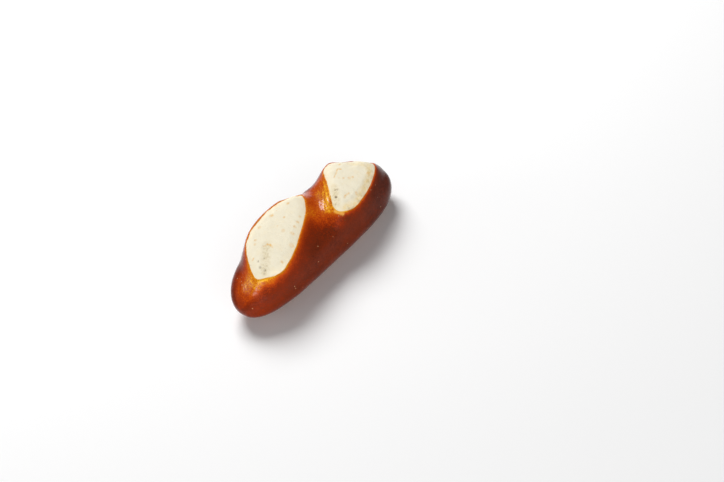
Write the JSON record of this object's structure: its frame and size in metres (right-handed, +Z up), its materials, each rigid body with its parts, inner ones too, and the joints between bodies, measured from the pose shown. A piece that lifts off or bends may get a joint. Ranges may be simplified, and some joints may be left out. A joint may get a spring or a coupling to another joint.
{
  "type": "pretzel stick",
  "caption": "Slashed lye-dough bread stick with a glossy brown crust, pale crumb bulging from its slanting splits, and a flat sole.",
  "frame": {"origin": "middle of the bounding box, on the sole, which is the tray plane z = 0", "axes": "+X along the stick to its blunter end, +Y away from the side that the slashes start on, +Z up"},
  "size_m": [0.16, 0.0582, 0.0505],
  "materials": {
    "crust": "smooth, glossy lye-baked crust, with matt cream crumb inside the slashes"
  },
  "bodies": {
    "root": {"pretzel_stick": "crust"}
  },
  "joints": []
}
